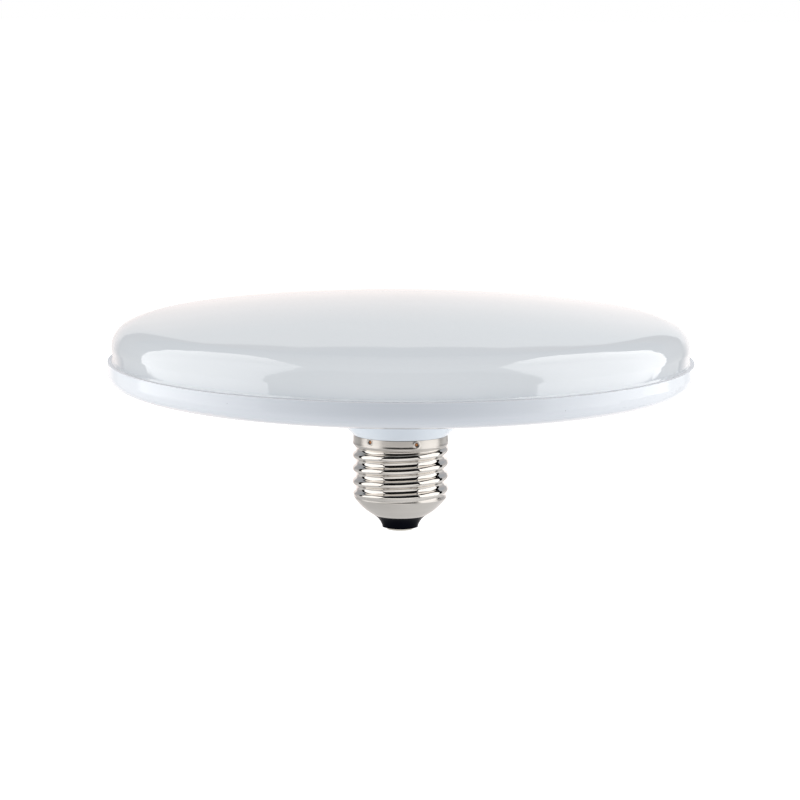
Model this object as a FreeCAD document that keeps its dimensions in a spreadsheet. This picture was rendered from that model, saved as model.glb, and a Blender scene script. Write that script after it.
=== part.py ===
import FreeCAD, Part
import math
import os
import re

import Sketcher

# A flat disc lamp with a standard screw cap, all sizes in millimetres.
# The frame's origin is the flat tip of the centre contact, and +Z runs from
# the cap up to the crown of the diffuser.

Vector = FreeCAD.Vector
UP = Vector(0, 0, 1)

# Driving sizes. Names that end in turn or slope are degrees, and names that
# end in count are counts.
DRIVING = {
    # screw cap
    "contact_radius": 4.0,
    "contact_round": 0.45,
    "contact_rise": 0.7,
    "shank_radius": 1.1,
    "shank_length": 2.6,
    "insulator_foot_radius": 4.9,
    "insulator_foot_height": 0.3,
    "insulator_height": 3.3,
    "insulator_flare_radius": 5.5,
    "insulator_flange_width": 2.9,
    "insulator_flange_height": 0.8,
    "insulator_floor": 2.4,
    "lip_radius": 7.15,
    "bowl_height": 4.9,
    "thread_crest_radius": 13.15,
    "thread_root_radius": 12.1,
    "thread_pitch": 3.629,
    "thread_length": 14.5,
    "thread_phase_height": 7.97,
    "thread_run_in": 1.8,
    "thread_run_out": 0.8,
    "collar_radius": 12.95,
    "collar_shoulder": 0.3,
    "collar_height": 2.9,
    "sheet": 0.3,
    "cap_gap": 0.1,
    # moulded housing
    "spigot_lift": 0.7,
    "spigot_wall": 1.7,
    "neck_height": 9.45,
    "neck_radius": 20.5,
    "neck_curve_radius": 40.0,
    "neck_wall": 1.6,
    "neck_fillet": 3.0,
    "housing_wall": 1.8,
    "underside_sweep_radius": 190.0,
    "underside_slope": 10.5,
    "underside_bend_radius": 16.8,
    "rim_slope": 28.0,
    "rim_corner_radius": 3.6,
    "rim_band": 2.8,
    "rim_radius": 80.0,
    "rim_lip": 1.5,
    "rim_gap": 0.1,
    "plate_drop": 5.1,
    "plate_ledge": 2.0,
    "rib_count": 12,
    "rib_thickness": 1.2,
    "rib_start": 2.5,
    "screw_count": 3,
    "screw_circle_radius": 30.0,
    "screw_turn": 15.0,
    "boss_radius": 3.4,
    "guide_depth": 2.0,
    "guide_wall": 1.0,
    "guide_floor": 0.9,
    # opal diffuser
    "diffuser_wall": 1.6,
    "skirt_depth": 3.5,
    "skirt_rise": 4.0,
    "bead_height": 1.0,
    "bead_depth": 0.3,
    "bead_drop": 1.6,
    "dome_overhang": 0.55,
    "shoulder_radius": 5.8,
    "shoulder_turn": 64.6,
    "blend_radius": 19.0,
    "crown_radius": 500.0,
    # heat spreader, light board and its fasteners
    "spreader_thickness": 1.2,
    "spreader_gap": 0.3,
    "spreader_hole_radius": 7.0,
    "light_board_radius": 62.0,
    "light_board_thickness": 1.0,
    "led_length": 3.5,
    "led_width": 2.8,
    "led_height": 0.7,
    "outer_ring_radius": 54.0,
    "outer_ring_count": 28,
    "middle_ring_radius": 38.0,
    "middle_ring_count": 20,
    "inner_ring_radius": 21.0,
    "inner_ring_count": 12,
    "screw_radius": 1.4,
    "screw_length": 5.8,
    "screw_head_radius": 2.8,
    "screw_head_height": 1.7,
    "hole_gap": 0.05,
    "socket_length": 8.0,
    "socket_width": 4.6,
    "socket_height": 4.0,
    "pin_size": 0.64,
    "pin_spacing": 2.54,
    "pin_overlap": 4.0,
    # driver
    "driver_thickness": 1.2,
    "driver_gap": 0.05,
    "driver_edge_gap": 0.4,
    "driver_top_gap": 1.0,
    "bulk_radius": 4.0,
    "bulk_length": 12.0,
    "output_radius": 3.15,
    "output_length": 9.0,
    "film_length": 10.0,
    "film_height": 8.0,
    "film_depth": 4.0,
    "choke_flange_radius": 4.5,
    "choke_hub_radius": 2.2,
    "choke_height": 7.0,
    "choke_flange": 1.0,
    "fuse_radius": 1.4,
    "fuse_length": 8.0,
    "leg_radius": 0.3,
    "wire_radius": 0.6,
    "lead_run": 2.4,
    "lead_spread": 5.0,
    "fuse_lift": 5.5,
    "bulk_lift": 5.0,
    "output_shift": 5.0,
    "bridge_width": 4.7,
    "bridge_height": 3.9,
    "bridge_depth": 2.5,
    "bridge_drop": 3.5,
    "chip_width": 3.9,
    "chip_height": 4.9,
    "chip_depth": 1.5,
    "chip_lift": 3.0,
    "diode_width": 4.3,
    "diode_height": 2.6,
    "diode_depth": 2.2,
    "diode_lift": 17.6,
    "film_drop": 1.0,
    "choke_lift": 11.0,
    "foot_reach": 0.8,
}

# Level slices in each turn of the cap's thread.
THREAD_SLICES = 6

# Heights and radii that follow from the driving sizes.
PLACES = {
    "lip_height": "contact_rise + insulator_height",
    "thread_base": "lip_height + bowl_height",
    "thread_middle": "(thread_crest_radius + thread_root_radius) / 2",
    "collar_base": "thread_base + thread_length",
    "collar_top": "collar_base + collar_height",
    "land_base": "collar_base + 2 * collar_shoulder",
    "underside": "collar_top + neck_height",
    "floor": "underside + housing_wall",
    "corner_drop": "rim_band + rim_corner_radius * cos(rim_slope)",
    "bend_drop": "underside_bend_radius * (cos(underside_slope) - cos(rim_slope))",
    "sweep_drop": "underside_sweep_radius * (1 - cos(underside_slope))",
    "seam": "underside + corner_drop + bend_drop + sweep_drop",
    "corner_end": "rim_radius - rim_corner_radius * (1 - sin(rim_slope))",
    "sweep_end": "corner_end - underside_bend_radius * (sin(rim_slope) - sin(underside_slope))",
    "flat_radius": "sweep_end - underside_sweep_radius * sin(underside_slope)",
    "spigot_radius": "thread_root_radius - sheet - cap_gap",
    "spigot_bottom": "thread_base + spigot_lift",
    "land_radius": "collar_radius - sheet - cap_gap",
    "bore_radius": "spigot_radius - spigot_wall",
    "rim_bore": "rim_radius - rim_lip",
    "skirt_radius": "rim_bore - rim_gap",
    "skirt_seat": "seam - skirt_depth",
    "plate_seat": "seam - plate_drop",
    "spreader_radius": "skirt_radius - diffuser_wall - 2 * spreader_gap",
    "seat_radius": "spreader_radius + spreader_gap",
    "ledge_radius": "spreader_radius - plate_ledge",
    "light_board_base": "plate_seat + spreader_thickness",
    "light_face": "light_board_base + light_board_thickness",
    "driver_base": "spigot_bottom + guide_floor",
    "driver_top": "plate_seat - driver_top_gap",
    "driver_face": "driver_thickness / 2",
    "driver_half": "bore_radius - driver_edge_gap",
    "pin_middle": "driver_face + pin_size / 2",
    "bowl_rise": "(thread_middle ^ 2 + bowl_height ^ 2 - lip_radius ^ 2) / (2 * bowl_height)",
    "bowl_radius": "sqrt(lip_radius ^ 2 + bowl_rise ^ 2)",
    "bowl_centre": "lip_height + bowl_rise",
    "flange_arc": "bowl_radius - sheet - cap_gap / 2",
    "plug_radius": "lip_radius - sheet",
    "plug_top": "bowl_centre - sqrt(flange_arc ^ 2 - plug_radius ^ 2)",
    "flange_radius": "plug_radius + insulator_flange_width",
    "flange_edge": "bowl_centre - sqrt(flange_arc ^ 2 - flange_radius ^ 2)",
    "flange_top": "flange_edge + insulator_flange_height",
    "bead_radius": "skirt_radius + bead_depth",
    "dome_radius": "skirt_radius + dome_overhang",
    "bead_middle": "seam - bead_drop",
    "widest": "seam + skirt_rise",
    "shoulder_end": "dome_radius - shoulder_radius * (1 - cos(shoulder_turn))",
    "shoulder_top": "widest + shoulder_radius * sin(shoulder_turn)",
    "crown_cosine": "(shoulder_end - blend_radius * cos(shoulder_turn)) / (crown_radius - blend_radius)",
    "crown_sine": "sqrt(1 - crown_cosine ^ 2)",
    "blend_centre_across": "shoulder_end - blend_radius * cos(shoulder_turn)",
    "blend_centre_up": "shoulder_top - blend_radius * sin(shoulder_turn)",
    "crown_centre_up": "blend_centre_up - (crown_radius - blend_radius) * crown_sine",
    "crown_top": "crown_centre_up + crown_radius",
}

doc = FreeCAD.newDocument("disc_lamp")
sizes = doc.addObject("Spreadsheet::Sheet", "Sizes")
for line, (alias, number) in enumerate(DRIVING.items(), 1):
    sizes.set(f"A{line}", alias)
    sizes.set(f"B{line}", str(number))
    sizes.setAlias(f"B{line}", alias)
doc.recompute()

NAME = re.compile(r"[a-z][a-z_]+")


def formula(text):
    """The document's spelling of a size that is written with the names above."""
    def spell(match):
        word = match.group()
        if word in PLACES:
            return f"({formula(PLACES[word])})"
        return f"Sizes.{word}" if word in DRIVING else word
    return NAME.sub(spell, text)


def value(text):
    """A size as a number, in millimetres or degrees."""
    number = sizes.evalExpression(formula(text))
    return float(getattr(number, "Value", number))


def bind(thing, **texts):
    """Ties properties of a document object to sizes."""
    for name, text in texts.items():
        path = name.replace("__", ".")
        thing.setExpression(path, formula(text))


def origin_part(body, role):
    """One of a body's own planes or axes."""
    return next(part for part in body.Origin.OriginFeatures if part.Role == role)


def new_body(label):
    body = doc.addObject("PartDesign::Body", label)
    body.Label = label
    return body


def new_sketch(body, name, plane, at=("0", "0", "0"), turn="0"):
    """An empty sketch on the XY or XZ plane, moved by at along its own axes."""
    sketch = body.newObject("Sketcher::SketchObject", name)
    sketch.AttachmentSupport = (origin_part(body, plane + "_Plane"), [""])
    sketch.MapMode = "FlatFace"
    spin = FreeCAD.Rotation(UP, value(turn))
    sketch.AttachmentOffset = FreeCAD.Placement(Vector(*map(value, at)), spin)
    for axis, text in zip("xyz", at):
        if text != "0":
            sketch.setExpression(f"AttachmentOffset.Base.{axis}", formula(text))
    return sketch


def pin_point(sketch, edge, point, across, up):
    """Constraints that hold one point of an edge at its place in the sketch."""
    for kind, text, axis in (("DistanceX", across, -2), ("DistanceY", up, -1)):
        if text == "0":
            sketch.addConstraint(Sketcher.Constraint("PointOnObject", edge, point, axis))
            continue
        number = sketch.addConstraint(Sketcher.Constraint(kind, -1, 1, edge, point, value(text)))
        sketch.setExpression(f"Constraints[{number}]", formula(text))


def arc_between(start, end, radius, side):
    """The short arc from start to end, with its centre on the left or right of the way."""
    way = end - start
    reach = math.sqrt(max(radius ** 2 - way.Length ** 2 / 4, 0.0)) / way.Length
    left = Vector(-way.y, way.x, 0) * reach
    centre = (start + end) / 2 + (left if side == "left" else -left)
    first, last = (start, end) if side == "left" else (end, start)
    angles = [math.atan2(point.y - centre.y, point.x - centre.x) for point in (first, last)]
    if angles[1] < angles[0]:
        angles[1] += 2 * math.pi
    return Part.ArcOfCircle(Part.Circle(centre, UP, radius), *angles)


def add_outline(sketch, points):
    """A closed outline. A point is (across, up), or (across, up, radius, side) where the
    edge that leaves it is an arc of that radius with its centre on that side."""
    corners = [Vector(value(point[0]), value(point[1]), 0) for point in points]
    first = sketch.GeometryCount
    starts = []
    ends = []
    for number, point in enumerate(points):
        start = corners[number]
        end = corners[(number + 1) % len(points)]
        if len(point) == 2:
            sketch.addGeometry(Part.LineSegment(start, end))
            turned = False
        else:
            sketch.addGeometry(arc_between(start, end, value(point[2]), point[3]))
            turned = point[3] == "right"
        starts.append((first + number, 2 if turned else 1))
        ends.append((first + number, 1 if turned else 2))
    for number, point in enumerate(points):
        sketch.addConstraint(Sketcher.Constraint("Coincident", *ends[number - 1], *starts[number]))
    for number, point in enumerate(points):
        pin_point(sketch, *starts[number], point[0], point[1])
        if len(point) == 4:
            edge = starts[number][0]
            radius = Sketcher.Constraint("Radius", edge, value(point[2]))
            place = sketch.addConstraint(radius)
            sketch.setExpression(f"Constraints[{place}]", formula(point[2]))


def add_rectangle(sketch, low, high):
    """An upright rectangle between two corners, each an (across, up) pair."""
    add_outline(sketch, [low, (high[0], low[1]), high, (low[0], high[1])])


def add_circle(sketch, across, up, radius):
    centre = Vector(value(across), value(up), 0)
    edge = sketch.addGeometry(Part.Circle(centre, UP, value(radius)))
    place = sketch.addConstraint(Sketcher.Constraint("Radius", edge, value(radius)))
    sketch.setExpression(f"Constraints[{place}]", formula(radius))
    pin_point(sketch, edge, 3, across, up)


def revolve(body, name, points, plane="XZ", at=("0", "0", "0")):
    """A full turn of an outline about the upright axis of its sketch."""
    sketch = new_sketch(body, name + "_outline", plane, at)
    add_outline(sketch, points)
    feature = body.newObject("PartDesign::Revolution", name)
    feature.Profile = sketch
    feature.ReferenceAxis = (sketch, ["V_Axis"])
    feature.Angle = 360
    return feature


def pad(body, name, sketch, length, kind="PartDesign::Pad", backwards=False, both=False):
    """Material added, or with a Pocket taken away, to a length from a sketch."""
    feature = body.newObject(kind, name)
    feature.Profile = sketch
    feature.Reversed = backwards
    feature.Midplane = both
    bind(feature, Length=length)
    return feature


def ring_of(body, features, count):
    """Repeats features round the body's upright axis."""
    pattern = body.newObject("PartDesign::PolarPattern", features[0].Name + "_ring")
    pattern.Originals = features
    pattern.Axis = (origin_part(body, "Z_Axis"), [""])
    pattern.Angle = 360
    pattern.Occurrences = int(value(count))
    if count in DRIVING:
        bind(pattern, Occurrences=count)
    body.Tip = pattern
    return pattern


def edge_name(shape, radius, height):
    """The name of the level circular edge with this radius at this height."""
    for number, edge in enumerate(shape.Edges, 1):
        curve = edge.Curve
        if isinstance(curve, Part.Circle) and abs(curve.Radius - radius) < 1e-6:
            if abs(curve.Center.z - height) < 1e-6:
                return f"Edge{number}"
    raise SystemExit(f"no level edge of radius {radius} at {height}")


def screw_place(plane_height):
    """Sketch offsets of the first board screw, on a plane at this height."""
    return (
        "screw_circle_radius * cos(screw_turn)",
        "screw_circle_radius * sin(screw_turn)",
        plane_height,
    )


def stand_alone(label, shape):
    """A piece with a form of its own, kept as a plain feature."""
    feature = doc.addObject("Part::Feature", label)
    feature.Label = label
    feature.Shape = shape
    feature.Placement = FreeCAD.Placement()
    return feature


def centre_contact():
    body = new_body("centre_contact")
    revolve(body, "contact_rivet", [
        ("0", "0"),
        ("contact_radius - contact_round", "0"),
        ("contact_radius", "contact_round"),
        ("contact_radius", "contact_rise"),
        ("shank_radius", "contact_rise"),
        ("shank_radius", "contact_rise + shank_length"),
        ("0", "contact_rise + shank_length"),
    ])
    return body


def cap_insulator():
    """The black plug that closes the cap's bowl and carries the centre contact."""
    body = new_body("cap_insulator")
    bore = "shank_radius + hole_gap"
    floor = "contact_rise + insulator_floor"
    lip = "lip_height - cap_gap / 2"
    revolve(body, "insulator_plug", [
        (bore, "contact_rise"),
        ("insulator_foot_radius", "contact_rise"),
        ("insulator_foot_radius", "contact_rise + insulator_foot_height",
         "insulator_flare_radius", "right"),
        ("lip_radius", lip),
        ("plug_radius - cap_gap / 2", lip),
        ("plug_radius - cap_gap / 2", "plug_top"),
        ("flange_radius", "flange_edge"),
        ("flange_radius", "flange_top"),
        ("plug_radius", "flange_top"),
        ("insulator_foot_radius / 2", floor),
        (bore, floor),
    ])
    return body


def threaded_rod(radius):
    """A rolled knuckle thread as a solid rod. Any level section of it is a circle whose
    centre runs round the axis on a small helix, which fades out at both ends."""
    depth = value("(thread_crest_radius - thread_root_radius) / 2")
    length = value("thread_length")
    pitch = value("thread_pitch")
    phase = value("thread_phase_height")
    run_in = value("thread_run_in")
    run_out = value("thread_run_out")
    base = value("thread_base")
    slices = math.ceil(length / pitch * THREAD_SLICES)
    rings = []
    for number in range(slices + 1):
        height = length * number / slices
        share = min(height / run_in, (length - height) / run_out, 1)
        swing = depth * share ** 2 * (3 - 2 * share)
        angle = math.pi + 2 * math.pi * (height - phase) / pitch
        centre = Vector(swing * math.cos(angle), swing * math.sin(angle), base + height)
        rings.append(Part.Wire([Part.Circle(centre, UP, radius).toShape()]))
    return Part.makeLoft(rings, True, True)


def cap_shell():
    """The rolled metal shell, open at its lip and at its collar."""
    core_radius = "thread_root_radius - sheet / 2"
    core = new_body("cap_core")
    revolve(core, "bowl_and_collar", [
        ("0", "lip_height"),
        ("lip_radius", "lip_height", "bowl_radius", "left"),
        ("thread_middle", "thread_base"),
        (core_radius, "thread_base"),
        (core_radius, "collar_base"),
        ("thread_middle", "collar_base"),
        ("collar_radius", "collar_base + collar_shoulder"),
        ("collar_radius", "collar_top"),
        ("0", "collar_top"),
    ])
    cavity = new_body("cap_cavity")
    inner_arc = "bowl_radius - sheet"
    bore = "thread_root_radius - sheet"
    bore_start = f"bowl_centre - sqrt(({inner_arc}) ^ 2 - ({bore}) ^ 2)"
    across = "sheet * lip_radius / bowl_radius"
    down = "sheet * bowl_rise / bowl_radius"
    revolve(cavity, "cavity_outline", [
        ("0", f"lip_height - {down}"),
        (f"lip_radius + {across}", f"lip_height - {down}"),
        (f"lip_radius - {across}", f"lip_height + {down}", inner_arc, "left"),
        (bore, bore_start),
        (bore, "collar_base"),
        ("collar_radius - sheet", "collar_base + collar_shoulder"),
        ("collar_radius - sheet", "collar_top + sheet"),
        ("0", "collar_top + sheet"),
    ])
    thread = stand_alone("cap_thread", threaded_rod(value("thread_middle")))
    form = doc.addObject("Part::Fuse", "cap_form")
    form.Base = core
    form.Tool = thread
    shell = doc.addObject("Part::Cut", "cap_shell")
    shell.Base = form
    shell.Tool = cavity
    shell.Label = "cap_shell"
    return shell


def housing():
    """The moulded pan with its ribs and bosses, its neck, and the spigot in the cap."""
    body = new_body("housing")
    inner_sweep = "underside_sweep_radius - housing_wall"
    sweep_end_in = f"flat_radius + ({inner_sweep}) * sin(underside_slope)"
    sweep_top_in = f"underside + underside_sweep_radius - ({inner_sweep}) * cos(underside_slope)"
    pan = revolve(body, "pan_and_neck", [
        ("spigot_radius", "spigot_bottom"),
        ("spigot_radius", "land_base"),
        ("land_radius", "land_base"),
        ("land_radius", "collar_top"),
        ("collar_radius", "collar_top", "neck_curve_radius", "left"),
        ("neck_radius", "underside"),
        ("flat_radius", "underside", "underside_sweep_radius", "left"),
        ("sweep_end", "underside + sweep_drop", "underside_bend_radius", "left"),
        ("corner_end", "underside + sweep_drop + bend_drop", "rim_corner_radius", "left"),
        ("rim_radius", "seam - rim_band"),
        ("rim_radius", "seam"),
        ("rim_bore", "seam"),
        ("rim_bore", "bead_middle + bead_height / 2"),
        ("bead_radius + rim_gap", "bead_middle"),
        ("rim_bore", "bead_middle - bead_height / 2"),
        ("rim_bore", "skirt_seat"),
        ("seat_radius", "skirt_seat"),
        ("seat_radius", "plate_seat"),
        ("ledge_radius", "plate_seat"),
        (sweep_end_in, sweep_top_in, inner_sweep, "right"),
        ("flat_radius", "floor"),
        ("neck_radius - neck_wall", "floor"),
        ("bore_radius", "collar_top"),
        ("bore_radius", "spigot_bottom"),
    ])
    doc.recompute()
    corner = edge_name(pan.Shape, value("neck_radius"), value("underside"))
    fillet = body.newObject("PartDesign::Fillet", "neck_fillet")
    fillet.Base = (pan, [corner])
    bind(fillet, Radius="neck_fillet")
    rib = new_sketch(body, "rib_outline", "XZ")
    sunk = "underside + housing_wall / 2"
    sunk_sweep = "underside_sweep_radius - housing_wall / 2"
    rib_start = "neck_radius - neck_wall + rib_start"
    add_outline(rib, [
        (rib_start, sunk),
        ("flat_radius", sunk, sunk_sweep, "left"),
        (f"flat_radius + ({sunk_sweep}) * sin(underside_slope)",
         f"underside + underside_sweep_radius - ({sunk_sweep}) * cos(underside_slope)"),
        ("ledge_radius + plate_ledge / 2", "plate_seat"),
        (rib_start, "plate_seat"),
    ])
    ring_of(body, [pad(body, "rib", rib, "rib_thickness", both=True)], "rib_count")
    across, along, height = screw_place(sunk)
    foot = new_sketch(body, "boss_outline", "XY", at=("0", "0", height))
    add_circle(foot, across, along, "boss_radius")
    boss = pad(body, "boss", foot, f"plate_seat - ({sunk})")
    ring_of(body, [boss], "screw_count")
    mouth = new_sketch(body, "pilot_outline", "XY", at=("0", "0", "plate_seat"))
    add_circle(mouth, across, along, "screw_radius + hole_gap")
    pilot_depth = "plate_seat - light_face + screw_length + hole_gap"
    pilot = pad(body, "pilot", mouth, pilot_depth, kind="PartDesign::Pocket")
    ring_of(body, [pilot], "screw_count")
    wall = "bore_radius + spigot_wall / 2"
    near = "driver_face + driver_gap"
    far = f"{near} + guide_wall"
    cheeks = new_sketch(body, "guide_outline", "XY", at=("0", "0", "spigot_bottom"))
    add_rectangle(cheeks, ("bore_radius - guide_depth", near), (wall, far))
    add_rectangle(cheeks, ("bore_radius - guide_depth", f"-({far})"), (wall, f"-({near})"))
    guide = pad(body, "guide", cheeks, "collar_top - spigot_bottom")
    shelf = new_sketch(body, "shelf_outline", "XY", at=("0", "0", "spigot_bottom"))
    add_rectangle(shelf, ("bore_radius - guide_depth", f"-({far})"), (wall, far))
    stop = pad(body, "stop", shelf, "guide_floor")
    ring_of(body, [guide, stop], "2")
    return body


def diffuser():
    """The opal dome, a shallow crown on a tight shoulder, with its skirt and snap bead."""
    body = new_body("diffuser")

    def rim_point(inset):
        return f"dome_radius - {inset}", "widest", f"shoulder_radius - {inset}"

    def shoulder_point(inset):
        return (f"shoulder_end - {inset} * cos(shoulder_turn)",
                f"shoulder_top - {inset} * sin(shoulder_turn)", f"blend_radius - {inset}")

    def crown_point(inset):
        return (f"(crown_radius - {inset}) * crown_cosine",
                f"crown_centre_up + (crown_radius - {inset}) * crown_sine",
                f"crown_radius - {inset}")

    def top(inset):
        return "0", f"crown_top - {inset}"

    wall = "diffuser_wall"
    outer = [(*place("0"), "left") for place in (rim_point, shoulder_point, crown_point)]
    inner_rim = rim_point(wall)
    inner_shoulder = shoulder_point(wall)
    inner_crown = crown_point(wall)
    revolve(body, "dome", [
        ("skirt_radius", "skirt_seat"),
        ("skirt_radius", "bead_middle - bead_height / 2"),
        ("bead_radius", "bead_middle"),
        ("skirt_radius", "bead_middle + bead_height / 2"),
        ("skirt_radius", "seam"),
        *outer,
        top("0"),
        (*top(wall), inner_crown[2], "right"),
        (*inner_crown[:2], inner_shoulder[2], "right"),
        (*inner_shoulder[:2], inner_rim[2], "right"),
        inner_rim[:2],
        ("skirt_radius - diffuser_wall", "seam"),
        ("skirt_radius - diffuser_wall", "skirt_seat"),
    ])
    return body


def drilled_disc(label, radius, base, thickness, opening):
    """A plate with a central opening and the board screws' holes."""
    body = new_body(label)
    sketch = new_sketch(body, "plate_outline", "XY", at=("0", "0", base))
    add_circle(sketch, "0", "0", radius)
    opening(sketch)
    pad(body, "plate", sketch, thickness)
    across, along, _ = screw_place(base)
    mouth = new_sketch(body, "hole_outline", "XY", at=("0", "0", f"{base} + {thickness}"))
    add_circle(mouth, across, along, "screw_radius + hole_gap")
    hole = pad(body, "hole", mouth, thickness, kind="PartDesign::Pocket")
    ring_of(body, [hole], "screw_count")
    return body


def heat_spreader():
    def opening(sketch):
        add_circle(sketch, "0", "0", "spreader_hole_radius")
    return drilled_disc("heat_spreader", "spreader_radius", "plate_seat", "spreader_thickness", opening)


def led_board():
    def opening(sketch):
        side = "pin_spacing / 2 + pin_size"
        add_rectangle(sketch, (f"-({side})", "pin_middle - pin_size"), (side, "pin_middle + pin_size"))
    return drilled_disc("led_board", "light_board_radius", "light_board_base", "light_board_thickness",
                        opening)


def led_ring(label, radius, count):
    """Light-emitting packages soldered round one circle of the board."""
    body = new_body(label)
    sketch = new_sketch(body, "package_outline", "XY", at=("0", "0", "light_face"))
    add_rectangle(sketch, (f"{radius} - led_width / 2", "-led_length / 2"),
                  (f"{radius} + led_width / 2", "led_length / 2"))
    ring_of(body, [pad(body, "package", sketch, "led_height")], count)
    return body


def board_screws():
    """Self-tapping screws through the board and the spreader into the bosses."""
    body = new_body("board_screws")
    across, along, _ = screw_place("0")
    screw = revolve(body, "screw", [
        ("0", "light_face - screw_length"),
        ("screw_radius", "light_face - screw_length + screw_radius"),
        ("screw_radius", "light_face"),
        ("screw_head_radius", "light_face"),
        ("screw_head_radius", "light_face + screw_head_height / 2"),
        ("screw_radius", "light_face + screw_head_height"),
        ("0", "light_face + screw_head_height"),
    ], at=(across, "0", f"-({along})"))
    ring_of(body, [screw], "screw_count")
    return body


def board_socket():
    """The two-way socket on the light board that the driver's pins plug into."""
    body = new_body("board_socket")
    sketch = new_sketch(body, "socket_outline", "XY", at=("0", "0", "light_face"))
    add_rectangle(sketch, ("-socket_length / 2", "pin_middle - socket_width / 2"),
                  ("socket_length / 2", "pin_middle + socket_width / 2"))
    pad(body, "socket", sketch, "socket_height")
    mouths = new_sketch(body, "mouth_outline", "XY", at=("0", "0", "light_face"))
    half = "(pin_size / 2 + hole_gap)"
    for centre in ("-pin_spacing / 2", "pin_spacing / 2"):
        add_rectangle(mouths, (f"{centre} - {half}", f"pin_middle - {half}"),
                      (f"{centre} + {half}", f"pin_middle + {half}"))
    pad(body, "mouths", mouths, "socket_height / 2 + pin_size", kind="PartDesign::Pocket",
        backwards=True)
    return body


def dc_pins():
    """The output pins, soldered to the driver board and plugged into the socket."""
    body = new_body("dc_pins")
    foot = "driver_top - pin_overlap"
    sketch = new_sketch(body, "pin_outline", "XY", at=("0", "0", foot))
    half = "pin_size / 2"
    for centre in ("-pin_spacing / 2", "pin_spacing / 2"):
        add_rectangle(sketch, (f"{centre} - {half}", "driver_face"),
                      (f"{centre} + {half}", "driver_face + pin_size"))
    pad(body, "pins", sketch, f"light_face + socket_height / 2 - ({foot})")
    return body


def driver_board():
    body = new_body("driver_board")
    sketch = new_sketch(body, "board_outline", "XZ")
    add_rectangle(sketch, ("-driver_half", "driver_base"), ("driver_half", "driver_top"))
    pad(body, "board", sketch, "driver_thickness", both=True)
    return body


def bent_leg(body, name, across, low, high, depth, side):
    """A square lead from the board's face out to depth, then upright to high."""
    size_of_leg = "2 * leg_radius"
    sketch = new_sketch(body, name + "_outline", "YZ", at=("0", "0", across))
    sign = "" if side > 0 else "-"
    face = f"{sign}driver_face"
    inner = f"{sign}({depth} - leg_radius)"
    outer = f"{sign}({depth} + leg_radius)"
    step = f"{low} + {size_of_leg}" if value(f"({high}) - ({low})") > 0 else f"{low} - {size_of_leg}"
    add_outline(sketch, [(face, low), (outer, low), (outer, high), (inner, high), (inner, step),
                         (face, step)])
    return pad(body, name, sketch, size_of_leg, both=True)


def electrolytic(label, across, base, radius, length):
    """A capacitor can that stands beside the board, with its crimp and its two leads."""
    body = new_body(label)
    depth = f"driver_face + driver_gap + {radius}"
    crimp = "2 * leg_radius"
    revolve(body, "can", [
        ("0", base),
        (radius, base),
        (radius, f"{base} + {crimp}"),
        (f"{radius} - leg_radius", f"{base} + 2 * {crimp}"),
        (radius, f"{base} + 3 * {crimp}"),
        (radius, f"{base} + {length}"),
        ("0", f"{base} + {length}"),
    ], at=(across, "0", f"-({depth})"))
    for name, shift in (("first_leg", "-"), ("second_leg", "+")):
        place = f"{across} {shift} {radius} / 2"
        bent_leg(body, name, place, f"{base} - 4 * leg_radius", base, depth, 1)
    return body


def fuse_resistor():
    """The fusible resistor of the live side, upright beside the board."""
    body = new_body("fuse_resistor")
    across = "-(driver_half - guide_depth - fuse_radius)"
    depth = "driver_face + driver_gap + fuse_radius"
    base = "driver_base + fuse_lift"
    top = f"{base} + fuse_length"
    revolve(body, "resistor", [
        ("0", base),
        ("fuse_radius", base),
        ("fuse_radius", top),
        ("0", top),
    ], at=(across, "0", f"-({depth})"))
    bent_leg(body, "lower_leg", across, f"{base} - 4 * leg_radius", base, depth, 1)
    bent_leg(body, "upper_leg", across, f"{top} + 4 * leg_radius", top, depth, 1)
    return body


def package(label, across, middle, size, legs, side):
    """A moulded package on the board's face, with a row of flat legs on two sides."""
    width, height, depth = size
    body = new_body(label)
    face = f"{'' if side < 0 else '-'}driver_face"
    back = side > 0
    case = new_sketch(body, "case_outline", "XZ", at=("0", "0", face))
    add_rectangle(case, (f"{across} - {width} / 2", f"{middle} - {height} / 2"),
                  (f"{across} + {width} / 2", f"{middle} + {height} / 2"))
    pad(body, "case", case, depth, backwards=back)
    feet = new_sketch(body, "feet_outline", "XZ", at=("0", "0", face))
    for number in range(legs):
        place = f"{middle} + {height} * {(number + 0.5) / legs - 0.5}"
        add_rectangle(feet, (f"{across} - {width} / 2 - foot_reach", f"{place} - leg_radius"),
                      (f"{across} + {width} / 2 + foot_reach", f"{place} + leg_radius"))
    pad(body, "feet", feet, "leg_radius", backwards=back)
    return body


def film_capacitor():
    """The interference suppressor, a moulded box on two leads."""
    body = new_body("film_capacitor")
    middle = "driver_top - film_drop - film_height / 2"
    sketch = new_sketch(body, "box_outline", "XZ", at=("0", "0", "driver_face + driver_gap"))
    add_rectangle(sketch, ("-film_length / 2", f"{middle} - film_height / 2"),
                  ("film_length / 2", f"{middle} + film_height / 2"))
    pad(body, "box", sketch, "film_depth")
    base = f"{middle} - film_height / 2"
    depth = "driver_face + driver_gap + film_depth / 2"
    for name, place in (("first_leg", "-film_length / 4"), ("second_leg", "film_length / 4")):
        bent_leg(body, name, place, f"{base} - 4 * leg_radius", base, depth, -1)
    return body


def choke(label, outline):
    """One piece of the drum choke, turned about an axis square to the board."""
    body = new_body(label)
    revolve(body, "drum", outline, plane="XY", at=("0", "0", "driver_base + choke_lift"))
    return body


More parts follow.
